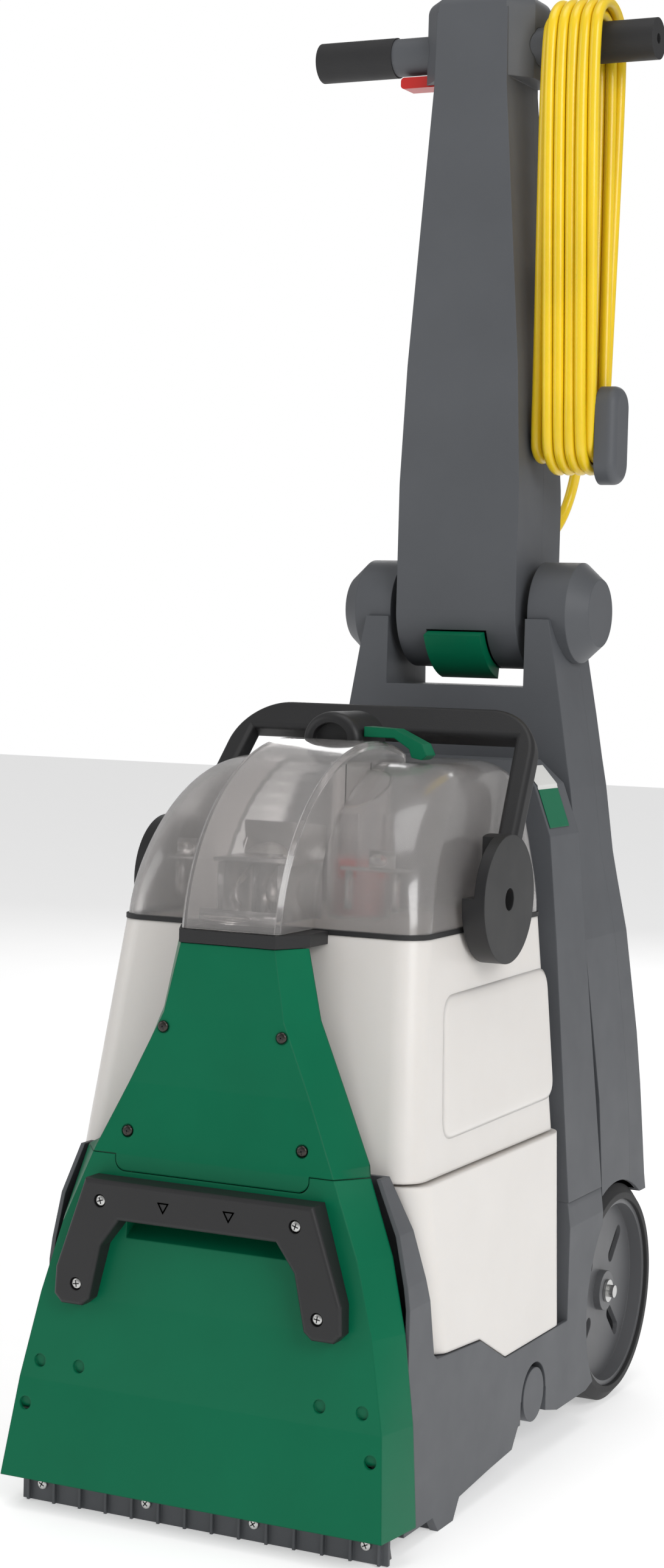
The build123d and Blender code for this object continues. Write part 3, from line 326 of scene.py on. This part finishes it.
field = [(-151, 364), (41, 366), (43, 268), (-165, 266)]
middle_y, middle_z = (sum(at) / 4 for at in zip(*field))
for side, name in ((1, "right"), (-1, "left")):
    bm = bmesh.new()
    rings = []
    for inset, height in ((0, -0.6), (0, 0.05), (1.2, 0.5), (2.6, 1.5), (4.2, 1.9), (9, 2.0)):
        corners = [(y - inset * (1 if y > middle_y else -1), z - inset * (1 if z > middle_z else -1))
                   for y, z in field]
        rings.append([bm.verts.new(Vector((side * (132 - 0.0828 * (at.y - 244) + height), at.x, at.y)) / 1000)
                      for at in rounded(corners, 16 - inset)])
    for outer, inner in zip(rings, rings[1:]):
        for k in range(len(outer)):
            bm.faces.new((outer[k], outer[(k + 1) % len(outer)], inner[(k + 1) % len(outer)], inner[k]))
    bm.faces.new(rings[0])
    bm.faces.new(rings[-1])
    piece("tank_field_" + name, bm, "dirty_tank", "tank_plastic")

# raised triangles on the lift handle
bm = bmesh.new()
for x in (-25, 25):
    outer, inner = ([bm.verts.new(Vector((x + r * sin(tau * k / 3), -276.25,
                                          223 - r * cos(tau * k / 3))) / 1000)
                     for k in range(3)] for r in (5.2, 3.4))
    for k in range(3):
        bm.faces.new((outer[k], outer[(k + 1) % 3], inner[(k + 1) % 3], inner[k]))
bmesh.ops.solidify(bm, geom=bm.faces[:], thickness=0.0006)
piece("lift_handle_marks", bm, "base", "black_plastic", smooth=False)

# plain two-colour sticker on the tower's shoulder
label_white = material("label_white", (0.72, 0.72, 0.7), 0.4, grain=0.1)
bm = bmesh.new()
rows = [(111.8, 468), (101.2, 497), (100.6, 498.6), (100.4, 500.2), (88, 514)]
columns = [[bm.verts.new((x / 1000 + 0.0006, y / 1000, z / 1000)) for y in (66, 67.5, 104.5, 106)]
           for x, z in rows]
for j, (low, high) in enumerate(zip(columns, columns[1:])):
    for k in range(3):
        bm.faces.new((low[k], low[k + 1], high[k + 1], high[k])).material_index = int(j > 0)
sticker = piece("tower_sticker", bm, "base", "green_plastic", smooth=False,
                finishes=[finish["green_plastic"], label_white])
thick = sticker.modifiers.new("thick", "SOLIDIFY")
thick.thickness = 0.0003

# tufts of the brush roll, on a two-start spiral
bm = bmesh.new()
roll_low, roll_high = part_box("brush_roll")
roll_y, roll_z = roll_low[1] * 0.5 + roll_high[1] * 0.5, 0.031
low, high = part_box("brush_bristles")
for start in range(2):
    for n in range(44):
        x = low.x + 0.006 + (high.x - low.x - 0.012) * n / 43
        around = pi * start + tau * 1.5 * n / 43
        for m in range(9):
            a = around + 0.09 * (m % 3 - 1)
            lean = 0.02 * ((m * 7 + n * 3) % 5 - 2)
            xx = x + 0.0011 * (m // 3 - 1)
            foot, tip = ([bm.verts.new((xx + 0.0005 * cos(tau * k / 3) + lean * (r - 0.0145) * 3,
                                        roll_y + r * cos(a + lean * far) + 0.0005 * sin(tau * k / 3) * -sin(a),
                                        roll_z + r * sin(a + lean * far) + 0.0005 * sin(tau * k / 3) * cos(a)))
                          for k in range(3)] for r, far in ((0.0145, 0), (0.0268, 1)))
            for k in range(3):
                bm.faces.new((foot[k], foot[(k + 1) % 3], tip[(k + 1) % 3], tip[k]))
            bm.faces.new(tip)
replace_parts(piece("bristle_tufts", bm, "brush", "bristle", smooth=False), "brush_bristles")


# Floor, light and backdrop --------------------------------------------------------
floor_mesh = bpy.data.meshes.new("floor")
floor_mesh.from_pydata([(-9, -9, 0), (9, -9, 0), (9, 9, 0), (-9, 9, 0)], [], [(0, 1, 2, 3)])
floor_mesh.materials.append(material("floor_paper", (0.9, 0.9, 0.9), 0.7, mottle=0.01,
                                     Specular_IOR_Level=0.1, Emission_Color=(1, 1, 1, 1),
                                     Emission_Strength=0.42))
floor = bpy.data.objects.new("floor", floor_mesh)
scene.collection.objects.link(floor)

world = bpy.data.worlds.new("studio")
world.use_nodes = True
sky = world.node_tree.nodes["Background"]
sky.inputs["Color"].default_value = (1, 1, 1, 1)
seen = world.node_tree.nodes.new("ShaderNodeMapRange")
seen.inputs["To Min"].default_value = 0.36
seen.inputs["To Max"].default_value = 1.0
light_path = world.node_tree.nodes.new("ShaderNodeLightPath")
world.node_tree.links.new(light_path.outputs["Is Camera Ray"], seen.inputs["Value"])
world.node_tree.links.new(seen.outputs["Result"], sky.inputs["Strength"])
scene.world = world
scene.view_settings.view_transform = "Standard"

for name, place, aim, size, power in (
        ("key", (2.6, -1.7, 1.9), (0, 0, 0.5), 1.6, 46),
        ("fill", (-2.6, -1.8, 1.6), (0, 0, 0.5), 1.8, 16),
        ("top", (0.2, -0.4, 3.2), (0, 0, 0.4), 1.8, 20),
        ("rim", (-0.8, 2.8, 1.9), (0, 0, 0.6), 1.6, 18)):
    light = bpy.data.objects.new(name, bpy.data.lights.new(name, "AREA"))
    light.data.size = size
    light.data.energy = power
    light.location = place
    light.rotation_euler = (Vector(aim) - Vector(place)).to_track_quat("-Z", "Y").to_euler()
    scene.collection.objects.link(light)
